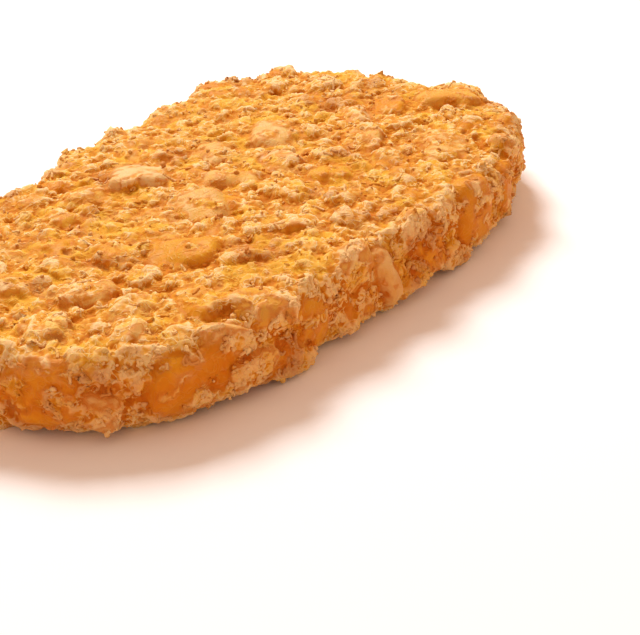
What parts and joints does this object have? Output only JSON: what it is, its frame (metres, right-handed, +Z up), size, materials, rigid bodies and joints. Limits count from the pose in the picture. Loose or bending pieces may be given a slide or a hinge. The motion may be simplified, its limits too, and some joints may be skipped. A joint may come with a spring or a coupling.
{
  "type": "hash brown patty",
  "caption": "Oval fried hash brown patty: diced potato pressed into a flat slab with rounded edges and a craggy golden crumb crust.",
  "frame": {"origin": "on the resting plane, under the middle of the patty's bounding box", "axes": "+X along the patty's length, +Y across its width, +Z up through its thickness"},
  "size_m": [0.112, 0.067, 0.0136],
  "materials": {
    "fried_crust": null
  },
  "bodies": {
    "root": {"hash_brown_patty": "fried_crust"}
  },
  "joints": []
}
